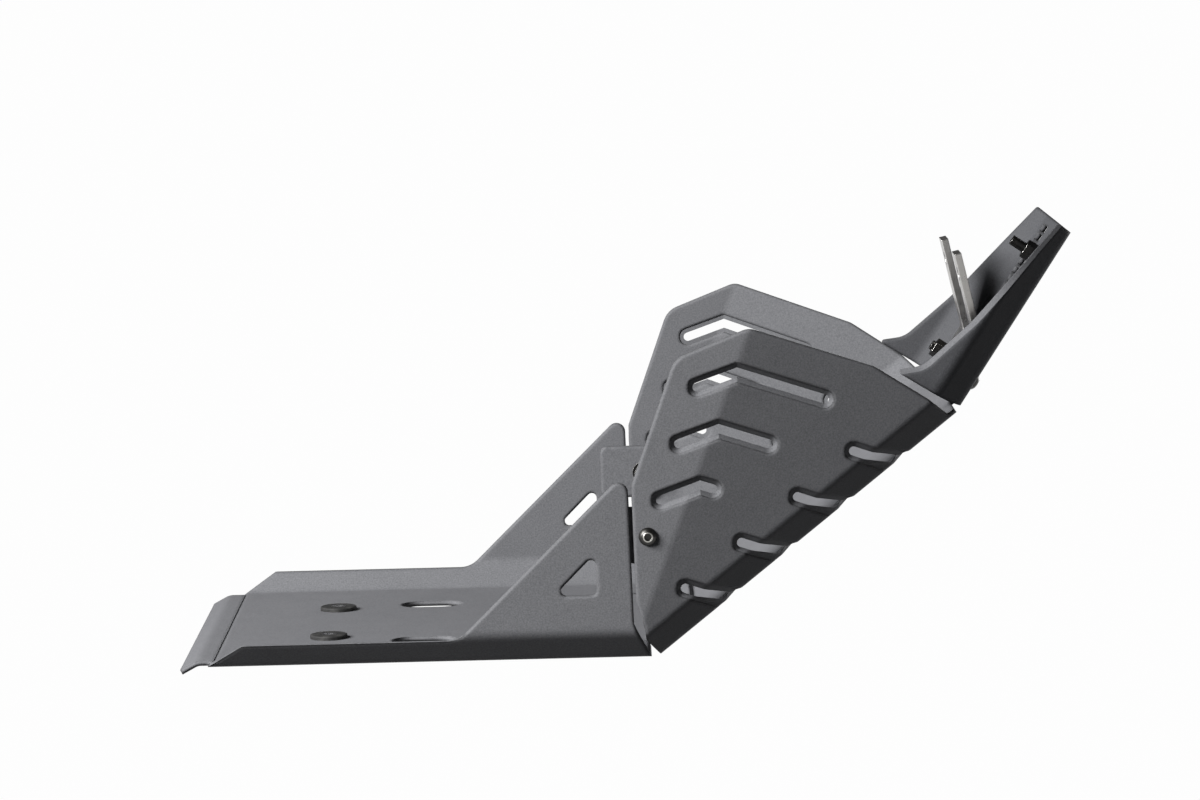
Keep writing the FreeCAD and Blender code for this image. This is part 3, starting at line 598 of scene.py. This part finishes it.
# a path with rounded corners, as closely spaced spots with the way into the panel
def roundedPath(chamfer):
    path, stride = chamfer["path"], chamfer["stride"]
    spots = [Vector(path[0][:2])]
    for before, corner, after in zip(path, path[1:], path[2:]):
        bend, radius = Vector(corner[:2]), corner[2]
        back = (Vector(before[:2]) - bend).normalized()
        ahead = (Vector(after[:2]) - bend).normalized()
        half = back.angle(ahead) / 2
        centre = bend + (back + ahead).normalized() * radius / math.sin(half)
        first = bend + back * radius / math.tan(half) - centre
        turn = first.angle_signed(bend + ahead * radius / math.tan(half) - centre)
        count = max(chamfer["fewest"], round(abs(turn) * radius / stride))
        spots += [centre + Matrix.Rotation(-turn * step / count, 2) @ first for step in range(count + 1)]
    spots.append(Vector(path[-1][:2]))
    even = []
    for a, b in zip(spots, spots[1:]):
        count = max(1, round((b - a).length / stride))
        even += [a.lerp(b, step / count) for step in range(count)]
    even.append(spots[-1])
    ways = [(b - a).normalized() for a, b in zip(even[:1] + even, even[1:] + even[-1:])]
    return [(spot, Vector((-way.y, way.x))) for spot, way in zip(even, ways)]


# a point of the upper panel's side, a depth below its outer face: on the wing, the bend or the bevel
def upperPoint(sheet, spot, depth, hand):
    bend, bevel = sheet["bend"], sheet["bevel"]
    tilt = math.radians(sheet["tilt"])
    turn = bevel + bend * math.tan(tilt / 2) - spot.y
    if turn <= 0:
        out, slide = bevel, 0.0
    elif turn < bend * math.sin(tilt):
        out = bevel - bend + math.sqrt(bend * bend - turn * turn)
        slide = turn / bend
    else:
        out, slide = spot.y, math.sin(tilt)
    across = sheet["half"] - sheet["toe"] * spot.x + out - depth * math.sqrt(1 - slide * slide)
    return sheetPoint(sheet, spot.x, hand * across, spot.y + depth * slide)


def chamferedUpper(sheet, chamfer):
    knives = bmesh.new()
    wide, deep, spare = chamfer["wide"], chamfer["deep"], chamfer["spare"]
    for hand in hands:
        spots = []
        for spot, inside in roundedPath(chamfer):
            low, high = spot + inside * wide * (1 + spare), spot - inside * wide * spare
            spots.append([upperPoint(sheet, low, -deep * spare, hand),
                          upperPoint(sheet, high, deep * (1 + spare), hand),
                          upperPoint(sheet, high, -deep * spare, hand)])
        addRing(knives, spots, False)
    for face in knives.faces:
        face.material_index = 1  # the chamfer's own finish
    carvedSheet("upper_sheet", "upper_panel", knives, ["upper", "rim"])


places = [(index, hand) for hand in hands for index in range(slotRims["fronts"])]
frontSlots = [FrontSlot(middleSheet, slotRims, index, hand) for index, hand in places]
slottedSheet(slotRims, slotFlare, frontSlots)
slotRimPiece(middleSheet, slotRims, frontSlots)
chamferedUpper(upperSheet, upperChamfer)
print("slot rims and chamfers made")


# floor: white to the camera and in reflections, grey to the light that bounces, with a trace of shadow
floorSettings = {"height": -0.19, "half": 90.0, "grey": (0.04, 0.04, 0.04, 1), "white": 0.985}


def paleFloor(settings):
    half = settings["half"]
    corners = [(-half, -half, 0), (half, -half, 0), (half, half, 0), (-half, half, 0)]
    mesh = bpy.data.meshes.new("floor")
    mesh.from_pydata(corners, [], [(0, 1, 2, 3)])
    floor = bpy.data.objects.new("floor", mesh)
    floor.location.z = settings["height"]
    bpy.context.scene.collection.objects.link(floor)
    material = bpy.data.materials.new("floorPale")
    material.use_nodes = True
    tree = material.node_tree
    tree.nodes.clear()
    base = Wire(tree)
    matt = base.make("ShaderNodeBsdfDiffuse", {}, {"Color": settings["grey"]})
    glow = base.make("ShaderNodeEmission", {}, {"Color": (1, 1, 1, 1), "Strength": 1.0})
    camera = base.make("ShaderNodeLightPath", {}, {}, "Is Camera Ray")
    glossy = base.make("ShaderNodeLightPath", {}, {}, "Is Glossy Ray")
    through = base.make("ShaderNodeLightPath", {}, {}, "Is Transmission Ray")
    seen = (camera + glossy + through).clamp() * settings["white"]
    mixed = base.make("ShaderNodeMixShader", {}, {0: seen, 1: matt, 2: glow})
    tree.links.new(mixed.socket, tree.nodes.new("ShaderNodeOutputMaterial").inputs["Surface"])
    mesh.materials.append(material)


paleFloor(floorSettings)


# studio light: a large soft key from above and behind the left of the picture, a weak fill, a soft lamp for
# the front and the far side, and a dim sky that the camera sees as white
lamps = {
    "key": {"at": (-1.42, -1.04, 1.20), "size": 1.1, "watts": 150.0},
    "fill": {"at": (1.6, -2.4, 0.9), "size": 1.6, "watts": 2.5},
    "front": {"at": (1.9, 1.6, 0.30), "size": 1.4, "watts": 45.0},
}
sky = {"strength": 0.040, "colour": (0.97, 0.98, 1.0, 1)}
aim = Vector((0.18, 0.0, 0.09))


def studioLight(lamps, sky):
    for name, lamp in lamps.items():
        data = bpy.data.lights.new(name, "AREA")
        data.size = lamp["size"]
        data.energy = lamp["watts"]
        light = bpy.data.objects.new(name, data)
        light.location = lamp["at"]
        light.rotation_euler = (aim - Vector(lamp["at"])).to_track_quat("-Z", "Y").to_euler()
        bpy.context.scene.collection.objects.link(light)
    world = bpy.data.worlds.new("studio")
    world.use_nodes = True
    bpy.context.scene.world = world
    tree = world.node_tree
    tree.nodes.clear()
    base = Wire(tree)
    dim = base.make("ShaderNodeBackground", {}, {"Color": sky["colour"], "Strength": sky["strength"]})
    white = base.make("ShaderNodeBackground", {}, {"Color": (1, 1, 1, 1), "Strength": 1.0})
    camera = base.make("ShaderNodeLightPath", {}, {}, "Is Camera Ray")
    mixed = base.make("ShaderNodeMixShader", {}, {0: camera, 1: dim, 2: white})
    tree.links.new(mixed.socket, tree.nodes.new("ShaderNodeOutputWorld").inputs["Surface"])


studioLight(lamps, sky)
print("floor and light set")


# camera: raised on the guard's right-hand side, looking across it and slightly down
cameraSettings = {
    "at": (0.170, -2.960, 0.4542), "right": (0.99969, 0.0, -0.02479), "down": 6.19,
    "lens": 150.4, "sensor": 36.0,
}


def photoCamera(settings):
    data = bpy.data.cameras.new("camera")
    data.sensor_width = settings["sensor"]
    data.lens = settings["lens"]
    right = Vector(settings["right"]).normalized()
    tilt = math.radians(settings["down"])
    level = Vector((0.0, 1.0, 0.0))
    upright = right.cross(level)
    up = upright * math.cos(tilt) + level * math.sin(tilt)
    back = upright * math.sin(tilt) - level * math.cos(tilt)
    camera = bpy.data.objects.new("camera", data)
    turn = Matrix((right, up, back)).transposed().to_4x4()
    camera.matrix_world = Matrix.Translation(Vector(settings["at"])) @ turn
    bpy.context.scene.collection.objects.link(camera)
    bpy.context.scene.camera = camera


photoCamera(cameraSettings)
bpy.context.scene.view_settings.view_transform = "Standard"

print("camera set")
